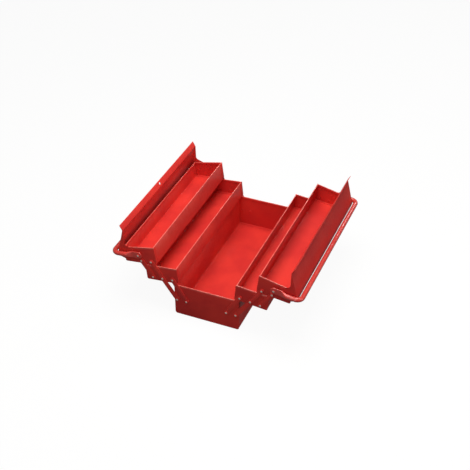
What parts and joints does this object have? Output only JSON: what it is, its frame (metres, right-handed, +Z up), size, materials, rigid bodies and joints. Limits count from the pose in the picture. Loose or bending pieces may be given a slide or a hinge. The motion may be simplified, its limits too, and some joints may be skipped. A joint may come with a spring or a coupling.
{
  "type": "cantilever tool box",
  "caption": "Steel cantilever tool box standing open: a deep base, stepped trays on parallel arms each side, hinged lids with a padlock strip and swing-over handles.",
  "frame": {"origin": "On the floor under the middle of the base, which is also the middle of the bounding box seen from above.", "axes": "X runs across the box, from the left trays to the right ones; Y runs along the box, away from the viewer of the near end; Z is up."},
  "size_m": [0.5834, 0.5244, 0.2692],
  "materials": {
    "red_enamel": "glossy red enamel",
    "rivet_steel": "bright zinc plate"
  },
  "bodies": {
    "base": {"base_trough": "red_enamel", "base_near_panel": "red_enamel", "base_far_panel": "red_enamel", "base_rivets": "rivet_steel"},
    "left_long_arms": {"left_near_long_arm": "red_enamel", "left_far_long_arm": "red_enamel"},
    "left_lower_arms": {"left_near_lower_arm": "red_enamel", "left_far_lower_arm": "red_enamel"},
    "left_upper_arms": {"left_near_upper_arm": "red_enamel", "left_far_upper_arm": "red_enamel"},
    "left_lower_tray": {"left_lower_trough": "red_enamel", "left_lower_near_panel": "red_enamel", "left_lower_far_panel": "red_enamel", "left_lower_rivets": "rivet_steel"},
    "left_upper_tray": {"left_upper_trough": "red_enamel", "left_upper_near_panel": "red_enamel", "left_upper_far_panel": "red_enamel", "left_upper_rivets": "rivet_steel", "left_lid_pivots": "rivet_steel", "left_handle_pivots": "rivet_steel"},
    "left_lid": {"left_lid_panel": "red_enamel", "left_lid_near_lug": "red_enamel", "left_lid_far_lug": "red_enamel"},
    "left_handle": {"left_handle": "red_enamel"},
    "right_long_arms": {"right_near_long_arm": "red_enamel", "right_far_long_arm": "red_enamel"},
    "right_lower_arms": {"right_near_lower_arm": "red_enamel", "right_far_lower_arm": "red_enamel"},
    "right_upper_arms": {"right_near_upper_arm": "red_enamel", "right_far_upper_arm": "red_enamel"},
    "right_lower_tray": {"right_lower_trough": "red_enamel", "right_lower_near_panel": "red_enamel", "right_lower_far_panel": "red_enamel", "right_lower_rivets": "rivet_steel"},
    "right_upper_tray": {"right_upper_trough": "red_enamel", "right_upper_near_panel": "red_enamel", "right_upper_far_panel": "red_enamel", "right_upper_rivets": "rivet_steel", "right_lid_pivots": "rivet_steel", "right_handle_pivots": "rivet_steel"},
    "right_lid": {"right_lid_panel": "red_enamel", "right_lid_near_lug": "red_enamel", "right_lid_far_lug": "red_enamel"},
    "right_handle": {"right_handle": "red_enamel"}
  },
  "joints": [
    {"name": "left_fold", "type": "hinge", "parent": "base", "child": "left_long_arms", "pos_m": [-0.091, 0, 0.054], "axis": [0, 1, 0], "range_deg": [0, 67.62]},
    {"name": "left_lower_tray_turn", "type": "hinge", "parent": "left_long_arms", "child": "left_lower_tray", "pos_m": [-0.13496, 0, 0.11796], "axis": [0, -1, 0], "range_deg": [0, 61.85]},
    {"name": "left_upper_tray_turn", "type": "hinge", "parent": "left_long_arms", "child": "left_upper_tray", "pos_m": [-0.16877, 0, 0.16716], "axis": [0, -1, 0], "range_deg": [0, 60.51]},
    {"name": "left_lower_arms_turn", "type": "hinge", "parent": "base", "child": "left_lower_arms", "pos_m": [-0.062, 0, 0.054], "axis": [0, 1, 0], "range_deg": [0, 66.48]},
    {"name": "left_upper_arms_turn", "type": "hinge", "parent": "left_lower_tray", "child": "left_upper_arms", "pos_m": [-0.1648, 0, 0.11492], "axis": [0, 1, 0], "range_deg": [0, 62.2]},
    {"name": "left_lid_hinge", "type": "hinge", "parent": "left_upper_tray", "child": "left_lid", "pos_m": [-0.24132, 0, 0.17013], "axis": [0, 1, 0], "range_deg": [0, 64]},
    {"name": "left_handle_hinge", "type": "hinge", "parent": "left_upper_tray", "child": "left_handle", "pos_m": [-0.20573, 0, 0.18368], "axis": [0, 1, 0], "range_deg": [0, 120.55]},
    {"name": "right_fold", "type": "hinge", "parent": "base", "child": "right_long_arms", "pos_m": [0.091, 0, 0.054], "axis": [0, -1, 0], "range_deg": [0, 67.62]},
    {"name": "right_lower_tray_turn", "type": "hinge", "parent": "right_long_arms", "child": "right_lower_tray", "pos_m": [0.13496, 0, 0.11796], "axis": [0, 1, 0], "range_deg": [0, 61.85]},
    {"name": "right_upper_tray_turn", "type": "hinge", "parent": "right_long_arms", "child": "right_upper_tray", "pos_m": [0.16877, 0, 0.16716], "axis": [0, 1, 0], "range_deg": [0, 60.51]},
    {"name": "right_lower_arms_turn", "type": "hinge", "parent": "base", "child": "right_lower_arms", "pos_m": [0.062, 0, 0.054], "axis": [0, -1, 0], "range_deg": [0, 66.48]},
    {"name": "right_upper_arms_turn", "type": "hinge", "parent": "right_lower_tray", "child": "right_upper_arms", "pos_m": [0.1648, 0, 0.11492], "axis": [0, -1, 0], "range_deg": [0, 62.2]},
    {"name": "right_lid_hinge", "type": "hinge", "parent": "right_upper_tray", "child": "right_lid", "pos_m": [0.24132, 0, 0.17013], "axis": [0, -1, 0], "range_deg": [0, 64]},
    {"name": "right_handle_hinge", "type": "hinge", "parent": "right_upper_tray", "child": "right_handle", "pos_m": [0.20573, 0, 0.18368], "axis": [0, -1, 0], "range_deg": [0, 120.55]}
  ],
  "couplings": [
    {"joint": "left_lower_tray_turn", "follows": "left_fold", "ratio": 0.91402},
    {"joint": "left_upper_tray_turn", "follows": "left_fold", "ratio": 0.89409},
    {"joint": "left_lower_arms_turn", "follows": "left_fold", "ratio": 0.9824},
    {"joint": "left_upper_arms_turn", "follows": "left_fold", "ratio": 0.9192},
    {"joint": "left_handle_hinge", "follows": "left_lid_hinge", "ratio": 1.8828},
    {"joint": "right_lower_tray_turn", "follows": "right_fold", "ratio": 0.91402},
    {"joint": "right_upper_tray_turn", "follows": "right_fold", "ratio": 0.89409},
    {"joint": "right_lower_arms_turn", "follows": "right_fold", "ratio": 0.9824},
    {"joint": "right_upper_arms_turn", "follows": "right_fold", "ratio": 0.9192},
    {"joint": "right_handle_hinge", "follows": "right_lid_hinge", "ratio": 1.8828}
  ]
}
